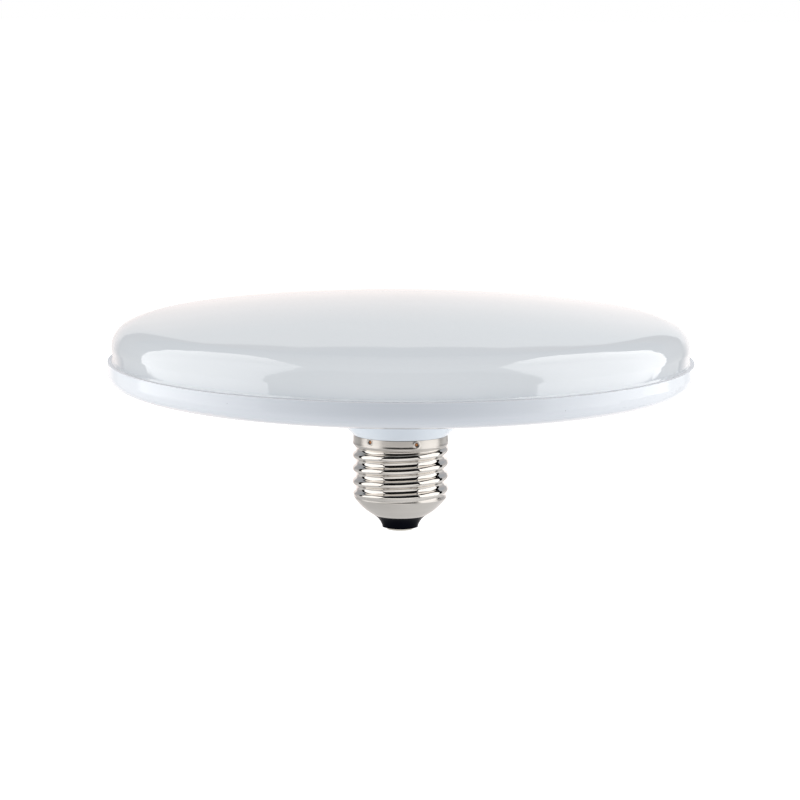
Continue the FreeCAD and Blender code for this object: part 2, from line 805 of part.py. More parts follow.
def choke_core():
    near = "-(driver_face + driver_gap)"
    far = f"-(driver_face + driver_gap + choke_height)"
    return choke("choke_core", [
        ("0", near),
        ("0", far),
        ("choke_flange_radius", far),
        ("choke_flange_radius", f"{far} + choke_flange"),
        ("choke_hub_radius", f"{far} + choke_flange"),
        ("choke_hub_radius", f"{near} - choke_flange"),
        ("choke_flange_radius", f"{near} - choke_flange"),
        ("choke_flange_radius", near),
    ])


def choke_winding():
    near = "-(driver_face + driver_gap + choke_flange)"
    far = "-(driver_face + driver_gap + choke_height - choke_flange)"
    inner = "choke_hub_radius + hole_gap"
    outer = "choke_flange_radius - 2 * leg_radius"
    return choke("choke_winding", [(inner, near), (inner, far), (outer, far), (outer, near)])


def lead(label, corners):
    """A round wire along straight runs, with an arc in each corner that is as large as
    the two runs beside it allow."""
    radius = value("wire_radius")
    points = [Vector(*map(value, corner)) for corner in corners]
    edges = []
    start = points[0]
    for before, corner, after in zip(points, points[1:], points[2:]):
        way_in = corner - before
        way_out = after - corner
        half_turn = way_in.getAngle(way_out) / 2
        trim = 0.45 * min(way_in.Length, way_out.Length)
        way_in.normalize()
        way_out.normalize()
        first = corner - way_in * trim
        last = corner + way_out * trim
        bulge = (way_out - way_in).normalize()
        middle = corner + bulge * trim * math.tan(half_turn / 2)
        edges.append(Part.makeLine(start, first))
        edges.append(Part.Arc(first, middle, last).toShape())
        start = last
    edges.append(Part.makeLine(start, points[-1]))
    path = Part.Wire(edges)
    tangent = (points[1] - points[0]).normalize()
    section = Part.Wire([Part.Circle(points[0], tangent, radius).toShape()])
    return stand_alone(label, path.makePipeShell([section], True, False))


def live_lead():
    along = "driver_face + wire_radius + hole_gap"
    rise = "contact_rise + shank_length"
    return lead("live_lead", [
        ("0", "0", rise),
        ("0", "0", f"{rise} + lead_run"),
        ("-lead_spread", along, "driver_base - lead_run / 2"),
        ("-lead_spread", along, "driver_base + lead_run"),
    ])


def neutral_lead():
    along = "driver_face + wire_radius + hole_gap"
    low = "spigot_bottom - wire_radius - hole_gap"
    return lead("neutral_lead", [
        ("lead_spread", along, "driver_base + lead_run"),
        ("lead_spread", along, low),
        ("thread_root_radius - 2 * sheet - cap_gap", along, low),
    ])


def check_and_write(pieces):
    doc.recompute()
    for thing in doc.Objects:
        if "Invalid" in thing.State or "Error" in thing.State:
            raise SystemExit(f"{thing.Label} failed: {thing.State}")
    os.makedirs("parts", exist_ok=True)
    for piece in pieces:
        if piece.Shape.isNull() or not piece.Shape.isValid():
            raise SystemExit(f"{piece.Label} is not a valid shape")
        piece.Shape.exportStep(f"parts/{piece.Label}.step")


check_and_write([
    centre_contact(),
    cap_insulator(),
    cap_shell(),
    housing(),
    diffuser(),
    heat_spreader(),
    led_board(),
    led_ring("leds_outer_ring", "outer_ring_radius", "outer_ring_count"),
    led_ring("leds_middle_ring", "middle_ring_radius", "middle_ring_count"),
    led_ring("leds_inner_ring", "inner_ring_radius", "inner_ring_count"),
    board_screws(),
    board_socket(),
    dc_pins(),
    driver_board(),
    electrolytic("bulk_capacitor", "0", "driver_base + bulk_lift", "bulk_radius", "bulk_length"),
    electrolytic("output_capacitor", "output_shift", "driver_top - output_length", "output_radius",
                 "output_length"),
    fuse_resistor(),
    package("bridge_rectifier", "-output_shift", "driver_top - bridge_drop",
            ("bridge_width", "bridge_height", "bridge_depth"), 2, 1),
    package("driver_chip", "0", "driver_base + chip_lift",
            ("chip_width", "chip_height", "chip_depth"), 4, -1),
    package("flyback_diode", "0", "driver_base + diode_lift",
            ("diode_width", "diode_height", "diode_depth"), 1, -1),
    film_capacitor(),
    choke_core(),
    choke_winding(),
    live_lead(),
    neutral_lead(),
])
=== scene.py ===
import math

import bpy
import numpy as np
from mathutils import Matrix, Vector


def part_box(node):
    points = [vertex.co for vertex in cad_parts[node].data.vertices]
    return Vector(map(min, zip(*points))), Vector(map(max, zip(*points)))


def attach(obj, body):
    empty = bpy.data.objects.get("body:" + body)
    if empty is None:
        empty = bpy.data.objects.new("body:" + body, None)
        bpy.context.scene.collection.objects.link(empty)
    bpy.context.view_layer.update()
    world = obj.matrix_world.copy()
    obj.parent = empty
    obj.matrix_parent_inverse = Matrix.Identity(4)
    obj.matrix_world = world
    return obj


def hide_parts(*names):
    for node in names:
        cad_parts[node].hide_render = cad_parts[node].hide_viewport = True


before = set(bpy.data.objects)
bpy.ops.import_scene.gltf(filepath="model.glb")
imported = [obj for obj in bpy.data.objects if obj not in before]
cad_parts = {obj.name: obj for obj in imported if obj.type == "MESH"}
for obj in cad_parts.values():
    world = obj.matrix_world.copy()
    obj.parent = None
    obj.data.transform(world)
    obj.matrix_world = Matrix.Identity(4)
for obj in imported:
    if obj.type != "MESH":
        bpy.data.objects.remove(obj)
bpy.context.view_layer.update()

# Lengths are written in millimetres, and the scene is in metres.
MM = 0.001

# Sizes of the diffuser, which repeat the CAD's.
DOME_WALL = 1.6 * MM
SKIRT_DEPTH = 3.5 * MM
WIDEST_RISE = 4.0 * MM
SKIRT_INSET = 0.55 * MM
BEAD_DEPTH = 0.3 * MM
BEAD_DROP = 1.6 * MM
BEAD_HEIGHT = 1.0 * MM
SHOULDER_RADIUS = 5.8 * MM
SHOULDER_TURN = math.radians(64.6)
BLEND_RADIUS = 19.0 * MM
CROWN_RADIUS = 500.0 * MM

# The thin foot on which the diffuser meets the rim, and the rows of the wall above it, as shares of
# the wall's height.
FOOT_RADIUS = 0.14 * MM
FOOT_REACH = 0.30 * MM
WALL_SHARES = (0.16, 0.22, 0.5, 0.9, 0.95)

# How finely the diffuser is divided: segments round it, and rows along its arcs.
DOME_SEGMENTS = 384
FOOT_ROWS = 7
SHOULDER_ROWS = 22
BLEND_ROWS = 14
CROWN_ROWS = 36

# Height at which the housing's neck meets its underside, and the depth over which the painted light on
# the neck fades in below it.
NECK_TOP = 36.0 * MM
NECK_BLEND = 2.0 * MM

# Sizes of the screw cap, which repeat the CAD's.
SHEET = 0.3 * MM
LIP_RADIUS = 7.15 * MM
BOWL_HEIGHT = 4.9 * MM
CREST_RADIUS = 13.15 * MM
ROOT_RADIUS = 12.1 * MM
THREAD_PITCH = 3.629 * MM
THREAD_LENGTH = 14.5 * MM
THREAD_PHASE = 7.97 * MM
RUN_IN = 1.8 * MM
RUN_OUT = 0.8 * MM
COLLAR_RADIUS = 12.95 * MM
COLLAR_SHOULDER = 0.3 * MM

# The collar's rounded top edge, and the bead at its foot. The bead fades out over BEAD_FADE of its
# half widths, and the plain collar begins at COLLAR_START of them.
COLLAR_EDGE = 0.12 * MM
COLLAR_BEAD = 0.13 * MM
COLLAR_BEAD_HALF = 0.28 * MM
BEAD_FADE = 3.0
COLLAR_START = 3.3

# How finely the cap is divided: turns round it, and rows along its thread, bead and collar.
CAP_TURNS = 330
BOWL_ROWS = 22
INNER_BOWL_ROWS = 10
THREAD_ROWS = 101
BEAD_ROWS = 16
COLLAR_ROWS = 20

# The punches that stake the collar to the neck. The photograph shows two of them.
PUNCH_TURN = math.radians(-70.2)
PUNCH_DROPS = (1.15 * MM, 1.05 * MM, 1.2 * MM, 0.95 * MM, 1.1 * MM, 0.85 * MM)
PUNCH_RADIUS = 0.58 * MM
PUNCH_DEPTH = 0.27 * MM
PUNCH_LIP = 0.09 * MM
PUNCH_ZONE = 1.2 * MM
PUNCH_ZONE_TURNS = 27

# Where a punch's lip and wall lie, and how far its bared brass and the painted shade on its walls reach,
# as shares of its radius.
PUNCH_LIP_AT = 1.45
PUNCH_LIP_WIDTH = 0.35
PUNCH_WALL_AT = 0.95
PUNCH_SHADE_AND_BRASS_AT = 0.85

# Mesh attributes of the screw cap, from 0 to 1: brass bared by a punch with painted shade on its walls,
# the satin bowl and collar, and the rolling marks in the thread's roots.
BARED_AND_SHADED = "bared_brass_and_punch_shade"
SATIN = "satin_finish"
ROLLED = "rolling_marks"

# The camera, fitted to the photograph's outline: its sensor in mm, its distance, its angles in
# radians, and the pixels to a metre and the pixel of the seam's centre.
IMAGE_SIZE = 800
SENSOR = 36.0
CAMERA_DISTANCE = 1400.0 * MM
CAMERA_ELEVATION = math.radians(7.96)
CAMERA_ROLL = 0.0053
SCALE_AT_SEAM = 3.664 / MM
SEAM_PIXEL = (400.8, 360.4)

# Edges sharper than this, in degrees, stay sharp.
SHARP_EDGE = 35.0
CAP_SHARP_EDGE = 50.0

# Points nearer to the axis than this are on it.
ON_AXIS = 1e-7

scene = bpy.context.scene


def low_of(node):
    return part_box(node)[0]


def high_of(node):
    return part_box(node)[1]


def arc(centre, radius, start, end, count):
    """Points of an arc in the (radius, height) plane, from one angle to another."""
    turns = np.linspace(start, end, count)
    return [(centre[0] + radius * math.cos(t), centre[1] + radius * math.sin(t)) for t in turns]


def finish_mesh(name, vertices, faces, sharp_edge=SHARP_EDGE):
    """An object from vertices and faces, smooth apart from edges sharper than the given angle."""
    mesh = bpy.data.meshes.new(name)
    mesh.from_pydata([tuple(v) for v in vertices], [], faces)
    mesh.validate()
    mesh.shade_smooth()
    mesh.set_sharp_from_angle(angle=math.radians(sharp_edge))
    piece = bpy.data.objects.new(name, mesh)
    scene.collection.objects.link(piece)
    return piece


def lathe(name, outline, segments):
    """A closed surface of revolution about Z. The outline is a loop of (radius, height) points,
    and a point at radius 0 becomes a single vertex."""
    vertices = []
    rows = []
    for radius, height in outline:
        if radius < ON_AXIS:
            rows.append([len(vertices)] * segments)
            vertices.append((0.0, 0.0, height))
            continue
        rows.append(list(range(len(vertices), len(vertices) + segments)))
        for number in range(segments):
            turn = 2 * math.pi * number / segments
            vertices.append((radius * math.cos(turn), radius * math.sin(turn), height))
    faces = []
    for row, above in zip(rows, rows[1:] + rows[:1]):
        if row[0] == row[1] and above[0] == above[1]:
            continue
        for number in range(segments):
            after = (number + 1) % segments
            corners = [row[number], row[after], above[after], above[number]]
            faces.append(tuple(dict.fromkeys(corners)))
    return finish_mesh(name, vertices, faces)


def dress(piece, slot, material, *nodes):
    """Puts a new piece in the place of CAD nodes."""
    piece.data.materials.clear()
    piece.data.materials.append(material)
    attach(piece, "root")
    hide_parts(*nodes)
    return piece


# Materials


def new_material(name):
    """A material with its nodes, links and shader."""
    material = bpy.data.materials.new(name)
    material.use_nodes = True
    nodes = material.node_tree.nodes
    shader = next(node for node in nodes if node.type == "BSDF_PRINCIPLED")
    return material, nodes, material.node_tree.links, shader


def grey(level):
    return (level, level, level)


def dimmed(colour, share):
    return tuple(channel * share for channel in colour)


def object_coordinates(nodes, links, scale=(1.0, 1.0, 1.0)):
    """Coordinates in the object's own frame, stretched by scale."""
    coordinates = nodes.new("ShaderNodeTexCoord")
    mapping = nodes.new("ShaderNodeMapping")
    mapping.inputs["Scale"].default_value = scale
    links.new(coordinates.outputs["Object"], mapping.inputs["Vector"])
    return mapping.outputs["Vector"]


def noise(nodes, links, vector, scale, detail=3.0, roughness=0.5):
    texture = nodes.new("ShaderNodeTexNoise")
    texture.inputs["Scale"].default_value = scale
    texture.inputs["Detail"].default_value = detail
    texture.inputs["Roughness"].default_value = roughness
    links.new(vector, texture.inputs["Vector"])
    return texture.outputs["Fac"]


def maths(nodes, links, operation, *values):
    """A maths node's output, from numbers or other nodes' outputs."""
    node = nodes.new("ShaderNodeMath")
    node.operation = operation
    for socket, value in zip(node.inputs, values):
        if isinstance(value, float):
            socket.default_value = value
        else:
            links.new(value, socket)
    return node.outputs["Value"]


def spread(nodes, links, value, low, high, start=0.0, end=1.0):
    """Maps a value from start..end to low..high."""
    node = nodes.new("ShaderNodeMapRange")
    node.inputs["From Min"].default_value = start
    node.inputs["From Max"].default_value = end
    node.inputs["To Min"].default_value = low
    node.inputs["To Max"].default_value = high
    links.new(value, node.inputs["Value"])
    return node.outputs["Result"]


def colour_between(nodes, links, value, first, second):
    """Mixes two colours, each given as numbers or as another node's output."""
    node = nodes.new("ShaderNodeMix")
    node.data_type = "RGBA"
    for side, colour in (("A", first), ("B", second)):
        if isinstance(colour, tuple):
            node.inputs[side].default_value = (*colour, 1.0)
        else:
            links.new(colour, node.inputs[side])
    links.new(value, node.inputs["Factor"])
    return node.outputs["Result"]


def specks(nodes, links, vector, scale, size, share):
    """1 inside small scattered specks, 0 elsewhere. Size is a share of the cell, and share is how
    many of the cells have one."""
    cells = nodes.new("ShaderNodeTexVoronoi")
    cells.inputs["Scale"].default_value = scale
    links.new(vector, cells.inputs["Vector"])
    split = nodes.new("ShaderNodeSeparateXYZ")
    links.new(cells.outputs["Color"], split.inputs["Vector"])
    chosen = spread(nodes, links, split.outputs["X"], 0.0, 1.0, 1.0 - share, 1.001 - share)
    core = size * 0.6
    inside = spread(nodes, links, cells.outputs["Distance"], 1.0, 0.0, core, size)
    return maths(nodes, links, "MULTIPLY", chosen, inside)


def product(nodes, links, first, second):
    """Two colours multiplied."""
    node = nodes.new("ShaderNodeVectorMath")
    node.operation = "MULTIPLY"
    links.new(first, node.inputs[0])
    links.new(second, node.inputs[1])
    return node.outputs["Vector"]


def value_between(nodes, links, value, first, second):
    """Mixes two values, each given as another node's output."""
    node = nodes.new("ShaderNodeMix")
    links.new(value, node.inputs["Factor"])
    links.new(first, node.inputs["A"])
    links.new(second, node.inputs["B"])
    return node.outputs["Result"]


def attribute(nodes, name):
    """The value that a mesh attribute has here."""
    node = nodes.new("ShaderNodeAttribute")
    node.attribute_name = name
    return node.outputs["Fac"]


def bumped(nodes, links, shader, height, distance, strength):
    """Gives a shader a bump from a height of 0 to 1."""
    node = nodes.new("ShaderNodeBump")
    node.inputs["Strength"].default_value = strength
    node.inputs["Distance"].default_value = distance
    links.new(height, node.inputs["Height"])
    links.new(node.outputs["Normal"], shader.inputs["Normal"])


def opal_material():
    """Glossy opal polycarbonate, with faint flow marks and dust."""
    material, nodes, links, shader = new_material("opal_polycarbonate")
    cool = (0.885, 0.93, 0.965)
    bright = (0.925, 0.965, 1.0)
    dusty = (0.52, 0.55, 0.58)
    scatter = 0.8 * MM
    vector = object_coordinates(nodes, links)
    flow = noise(nodes, links, object_coordinates(nodes, links, (1.0, 3.0, 1.0)), 28.0, 5.0, 0.65)
    clean = colour_between(nodes, links, flow, cool, bright)
    dust = specks(nodes, links, vector, 260.0, 0.07, 0.035)
    links.new(colour_between(nodes, links, dust, clean, dusty), shader.inputs["Base Color"])
    grain = noise(nodes, links, vector, 900.0, 2.0)
    links.new(spread(nodes, links, grain, 0.02, 0.04), shader.inputs["Roughness"])
    ripple = noise(nodes, links, vector, 60.0, 2.0)
    bumped(nodes, links, shader, ripple, 0.01 * MM, 0.1)
    shader.inputs["IOR"].default_value = 1.5
    shader.inputs["Subsurface Weight"].default_value = 0.1
    shader.inputs["Subsurface Radius"].default_value = (scatter, scatter, scatter)
    shader.inputs["Subsurface Scale"].default_value = 1.0
    return material


def housing_material():
    """White moulded plastic, duller than the diffuser, with painted light on the neck: the same moulding
    is painted whiter and bluer there, for the light that it gets from below.
    """
    material, nodes, links, shader = new_material("white_moulding")
    dull = (0.65, 0.69, 0.75)
    bright = (0.675, 0.715, 0.77)
    dusty = (0.42, 0.45, 0.50)
    painted_neck_light = (0.69, 0.75, 0.82)
    vector = object_coordinates(nodes, links)
    cloud = noise(nodes, links, vector, 35.0, 4.0)
    clean = colour_between(nodes, links, cloud, dull, bright)
    dust = specks(nodes, links, vector, 420.0, 0.10, 0.05)
    pan = colour_between(nodes, links, dust, clean, dusty)
    split = nodes.new("ShaderNodeSeparateXYZ")
    links.new(vector, split.inputs["Vector"])
    # Painted light: below NECK_TOP the neck is painted whiter and bluer, for the light that falls on it
    # from below.
    painted_light_share = spread(nodes, links, split.outputs["Z"], 1.0, 0.0, NECK_TOP - NECK_BLEND, NECK_TOP)
    links.new(colour_between(nodes, links, painted_light_share, pan, painted_neck_light), shader.inputs["Base Color"])
    grain = noise(nodes, links, vector, 1400.0, 2.0)
    links.new(spread(nodes, links, grain, 0.10, 0.14), shader.inputs["Roughness"])
    bumped(nodes, links, shader, grain, 0.01 * MM, 0.3)
    shader.inputs["Specular IOR Level"].default_value = 0.12
    return material


def punch_colour_with_shade(nodes, links, plate):
    """The plate's colour, with painted shade on the punches' walls, which are painted near black and not
    metal, and bared brass on their floors; and where it is metal.
    """
    bare_and_shade = attribute(nodes, BARED_AND_SHADED)
    painted_wall_shade = spread(nodes, links, bare_and_shade, 0.0, 1.0, 0.10, 0.35)
    floor = spread(nodes, links, bare_and_shade, 0.0, 1.0, 0.55, 0.75)
    # Painted shade: the punches' walls are painted near black, for the shade in the dents.
    shaded = colour_between(nodes, links, painted_wall_shade, plate, (0.012, 0.010, 0.010))
    colour = colour_between(nodes, links, floor, shaded, (0.36, 0.13, 0.025))
    return colour, spread(nodes, links, painted_wall_shade, 1.0, 0.0)


def nickel_material():
    """Nickel plate: satin on the bowl and collar, bright on the thread, with turning marks, rolling marks
    in the roots, a faint warm stain, and at the punches bared brass and painted shade, near black, on
    their walls."""
    material, nodes, links, shader = new_material("nickel_plate")
    satin_share = attribute(nodes, SATIN)
    stain = noise(nodes, links, object_coordinates(nodes, links), 190.0, 4.0, 0.6)
    plate = colour_between(nodes, links, stain, (0.72, 0.685, 0.645), (0.80, 0.77, 0.735))
    rings = noise(nodes, links, object_coordinates(nodes, links, (25.0, 25.0, 1300.0)), 1.0, 3.0, 0.6)
    ringed = colour_between(nodes, links, rings, grey(0.74), grey(0.98))
    plate = colour_between(nodes, links, satin_share, plate, product(nodes, links, plate, ringed))
    colour, metal = punch_colour_with_shade(nodes, links, plate)
    links.new(colour, shader.inputs["Base Color"])
    links.new(metal, shader.inputs["Metallic"])
    turning = noise(nodes, links, object_coordinates(nodes, links, (60.0, 60.0, 2600.0)), 1.0, 2.0, 0.6)
    bright = spread(nodes, links, turning, 0.03, 0.06)
    satin = spread(nodes, links, turning, 0.26, 0.36)
    roughness = value_between(nodes, links, satin_share, bright, satin)
    links.new(roughness, shader.inputs["Roughness"])
    pits = noise(nodes, links, object_coordinates(nodes, links, (900.0, 900.0, 5200.0)), 1.0, 2.0, 0.6)
    marks = value_between(nodes, links, attribute(nodes, ROLLED), turning, pits)
    bumped(nodes, links, shader, marks, 0.006 * MM, 0.5)
    return material


def insulator_material():
    """Near-black moulded insulator with a bluish gloss."""
    material, nodes, links, shader = new_material("black_insulator")
    vector = object_coordinates(nodes, links)
    cloud = noise(nodes, links, vector, 260.0, 3.0)
    black = colour_between(nodes, links, cloud, (0.002, 0.002, 0.004), (0.004, 0.005, 0.009))
    links.new(black, shader.inputs["Base Color"])
    links.new(spread(nodes, links, cloud, 0.16, 0.28), shader.inputs["Roughness"])
    bumped(nodes, links, shader, cloud, 0.02 * MM, 0.3)
    shader.inputs["Specular IOR Level"].default_value = 0.015
    return material


def plain_material(name, colour, roughness, metallic=0.0, scale=400.0, variation=0.08):
    """Colour and roughness that vary a little, for the pieces inside."""
    material, nodes, links, shader = new_material(name)
    vector = object_coordinates(nodes, links)
    cloud = noise(nodes, links, vector, scale, 3.0)
    dark = dimmed(colour, 1.0 - variation)
    light = tuple(min(channel * (1.0 + variation), 1.0) for channel in colour)
    links.new(colour_between(nodes, links, cloud, dark, light), shader.inputs["Base Color"])
    links.new(spread(nodes, links, cloud, roughness * 0.8, roughness * 1.2), shader.inputs["Roughness"])
    bumped(nodes, links, shader, cloud, 0.02 * MM, 0.3)
    shader.inputs["Metallic"].default_value = metallic
    return material


# Pieces


def diffuser_outline():
    """The diffuser's section: the skirt with its snap bead, the foot, the wall and the crown."""
    low = low_of("diffuser")
    high = high_of("diffuser")
    seam = low.z + SKIRT_DEPTH
    dome_radius = high.x
    skirt_radius = dome_radius - SKIRT_INSET
    widest = seam + WIDEST_RISE
    shoulder = (dome_radius - SHOULDER_RADIUS, widest)
    reach = SHOULDER_RADIUS - BLEND_RADIUS
    blend = (shoulder[0] + reach * math.cos(SHOULDER_TURN), shoulder[1] + reach * math.sin(SHOULDER_TURN))
    crown_turn = math.acos(blend[0] / (CROWN_RADIUS - BLEND_RADIUS))
    crown = (0.0, high.z - CROWN_RADIUS)

    def skin(inset):
        """The dome from its widest ring to its top, moved in by inset."""
        return [
            *arc(shoulder, SHOULDER_RADIUS - inset, 0.0, SHOULDER_TURN, SHOULDER_ROWS)[:-1],
            *arc(blend, BLEND_RADIUS - inset, SHOULDER_TURN, crown_turn, BLEND_ROWS)[:-1],
            *arc(crown, CROWN_RADIUS - inset, crown_turn, math.pi / 2, CROWN_ROWS)[:-1],
            (0.0, high.z - inset),
        ]

    bead = seam - BEAD_DROP
    foot = (skirt_radius + FOOT_REACH, seam + FOOT_RADIUS)
    outer = [
        (skirt_radius, low.z),
        (skirt_radius, bead - BEAD_HEIGHT / 2),
        (skirt_radius + BEAD_DEPTH, bead),
        (skirt_radius, bead + BEAD_HEIGHT / 2),
        (skirt_radius, seam),
        *arc(foot, FOOT_RADIUS, -math.pi / 2, math.pi / 3, FOOT_ROWS),
        *[(skirt_radius + SKIRT_INSET * share, seam + WIDEST_RISE * share)
          for share in WALL_SHARES],
        *skin(0.0),
    ]
    inner = [*skin(DOME_WALL)[::-1], (skirt_radius - DOME_WALL, seam), (skirt_radius - DOME_WALL, low.z)]
    return outer + inner


def knuckle(distance):
    """How far a rolled thread stands above its root, from 0 to 1, at a distance along the axis
    from a crest. Crest and root are arcs of the same radius."""
    depth = CREST_RADIUS - ROOT_RADIUS
    quarter = THREAD_PITCH / 4
    arc_radius = (quarter ** 2 + (depth / 2) ** 2) / depth
    distance = np.abs((distance + THREAD_PITCH / 2) % THREAD_PITCH - THREAD_PITCH / 2)
    from_root = THREAD_PITCH / 2 - distance
    near = np.minimum(distance, from_root)
    fall = arc_radius - np.sqrt(arc_radius ** 2 - near ** 2)
    return np.where(distance < quarter, 1 - fall / depth, fall / depth)


def cap_turns():
    """Angles round the cap, closer together at the punches."""
    even = np.linspace(0, 2 * math.pi, CAP_TURNS, endpoint=False)
    punches = PUNCH_TURN + 2 * math.pi * np.arange(len(PUNCH_DROPS)) / len(PUNCH_DROPS)
    half = PUNCH_ZONE / COLLAR_RADIUS
    close = punches[:, None] + np.linspace(-half, half, PUNCH_ZONE_TURNS)
    gap = np.abs((even[:, None] - punches + math.pi) % (2 * math.pi) - math.pi).min(1)
    least_step = 0.004
    return np.sort(np.concatenate([even[gap > half + least_step], close.ravel() % (2 * math.pi)]))


def cap_outlines(lip, top):
    """The shell's outer and inner outlines, from lip to collar and back, without thread and punches.
    The bowl is one arc, from the lip to the thread's mean radius."""
    base = lip + BOWL_HEIGHT
    thread_top = base + THREAD_LENGTH
    middle = (CREST_RADIUS + ROOT_RADIUS) / 2
    rise = (middle ** 2 + BOWL_HEIGHT ** 2 - LIP_RADIUS ** 2) / (2 * BOWL_HEIGHT)
    bowl_radius = math.hypot(LIP_RADIUS, rise)
    centre = (0.0, lip + rise)
    start = math.atan2(-rise, LIP_RADIUS)
    end = math.atan2(base - centre[1], middle)
    bead = thread_top + COLLAR_SHOULDER + COLLAR_BEAD_HALF
    plain = bead + COLLAR_START * COLLAR_BEAD_HALF
    rounded = COLLAR_EDGE * (1 - math.sqrt(0.5))
    outer = [
        *arc(centre, bowl_radius, start, end, BOWL_ROWS)[:-1],
        *[(middle, height) for height in np.linspace(base, thread_top, THREAD_ROWS)],
        *[(COLLAR_RADIUS + COLLAR_BEAD * math.exp(-(drop / COLLAR_BEAD_HALF) ** 2), bead + drop)
          for drop in np.linspace(-COLLAR_BEAD_HALF, BEAD_FADE * COLLAR_BEAD_HALF, BEAD_ROWS)],
        *[(COLLAR_RADIUS, height) for height in np.linspace(plain, top - COLLAR_EDGE, COLLAR_ROWS)],
        (COLLAR_RADIUS - rounded, top - rounded),
        (COLLAR_RADIUS - COLLAR_EDGE, top),
    ]
    bore = ROOT_RADIUS - SHEET
    bore_turn = math.acos(bore / (bowl_radius - SHEET))
    inner = [
        (COLLAR_RADIUS - SHEET, top),
        (COLLAR_RADIUS - SHEET, thread_top + COLLAR_SHOULDER),
        (bore, thread_top),
        *arc(centre, bowl_radius - SHEET, -bore_turn, start, INNER_BOWL_ROWS)[:-1],
        (LIP_RADIUS - SHEET * math.cos(start), lip - SHEET * math.sin(start)),
    ]
    return outer, inner


def rolled_thread(turns, height, base):
    """How far the thread lies outside its mean radius, and how much of it has run in, at each turn
    and height."""
    thread_top = base + THREAD_LENGTH
    run = np.minimum((height - base) / RUN_IN, (thread_top - height) / RUN_OUT).clip(0, 1)
    fade = run ** 2 * (3 - 2 * run)
    crest_height = base + THREAD_PHASE + THREAD_PITCH * (turns / (2 * math.pi) - 0.5)
    wave = (knuckle(height - crest_height) - 0.5) * (CREST_RADIUS - ROOT_RADIUS) * fade
    return wave, fade


def staking_punches(turns, height, top):
    """How far the punches move the collar out, and how far they bare its brass, with painted shade on
    their walls, at each turn and height."""
    shift = np.zeros_like(height)
    bare_and_shade = np.zeros_like(height)
    for number, drop in enumerate(PUNCH_DROPS):
        turn = PUNCH_TURN + 2 * math.pi * number / len(PUNCH_DROPS)
        across = ((turns - turn + math.pi) % (2 * math.pi) - math.pi) * COLLAR_RADIUS
        away = np.hypot(across, height - (top - drop)) / PUNCH_RADIUS
        shift += PUNCH_LIP * np.exp(-((away - PUNCH_LIP_AT) / PUNCH_LIP_WIDTH) ** 2)
        shift -= PUNCH_DEPTH * np.exp(-(away / PUNCH_WALL_AT) ** 4)
        # One mask gives both the bared brass and the painted shade on the punches' walls.
        bare_and_shade = np.maximum(bare_and_shade, np.exp(-(away / PUNCH_SHADE_AND_BRASS_AT) ** 3))
    return shift, bare_and_shade


def ring_faces(rings, turns):
    """Faces between rings of vertices, closed round and from the last ring to the first."""
    faces = []
    for ring in range(rings):
        first = ring * turns
        above = (ring + 1) % rings * turns
        for number in range(turns):
            after = (number + 1) % turns
            faces.append((first + number, first + after, above + after, above + number))
    return faces


def cap_piece():
    """The rolled shell: bowl, knuckle thread, collar and staking punches, with its inner side."""
    lip = low_of("cap_shell").z
    top = high_of("cap_shell").z
    base = lip + BOWL_HEIGHT
    outer, inner = cap_outlines(lip, top)
    turns = cap_turns()
    rows = np.array(outer + inner)
    radius = np.repeat(rows[:, :1], len(turns), 1)
    height = np.repeat(rows[:, 1:], len(turns), 1)
    outside = np.arange(len(rows))[:, None] < len(outer)
    climb = (height - base) / THREAD_LENGTH
    slack = 0.001
    on_thread = outside & (climb > -slack) & (climb < 1 + slack)
    on_collar = outside & (climb > 1 + COLLAR_SHOULDER / 2 / THREAD_LENGTH)
    wave, fade = rolled_thread(turns, height, base)
    shift, bare_and_shade = staking_punches(turns, height, top)
    radius = radius + np.where(on_thread, wave, 0.0) + np.where(on_collar, shift, 0.0)
    vertices = np.stack([radius * np.cos(turns), radius * np.sin(turns), height], -1).reshape(-1, 3)
    faces = ring_faces(len(rows), len(turns))
    piece = finish_mesh("cap_shell_rolled", vertices, faces, CAP_SHARP_EDGE)
    depth = 0.5 - wave / (CREST_RADIUS - ROOT_RADIUS)
    marks = {
        BARED_AND_SHADED: np.where(on_collar, bare_and_shade, 0.0),
        SATIN: np.where(on_thread, 1 - fade, 1.0),
        ROLLED: np.where(on_thread, fade * depth.clip(0, 1) ** 2, 0.0),
    }
    for name, values in marks.items():
        mark = piece.data.attributes.new(name, "FLOAT", "POINT")
        mark.data.foreach_set("value", values.ravel())
    return piece


def paint(node, material):
    """Gives every material slot of a CAD node one material."""
    if not node.data.materials:
        node.data.materials.append(material)
    for number in range(len(node.data.materials)):
        node.data.materials[number] = material


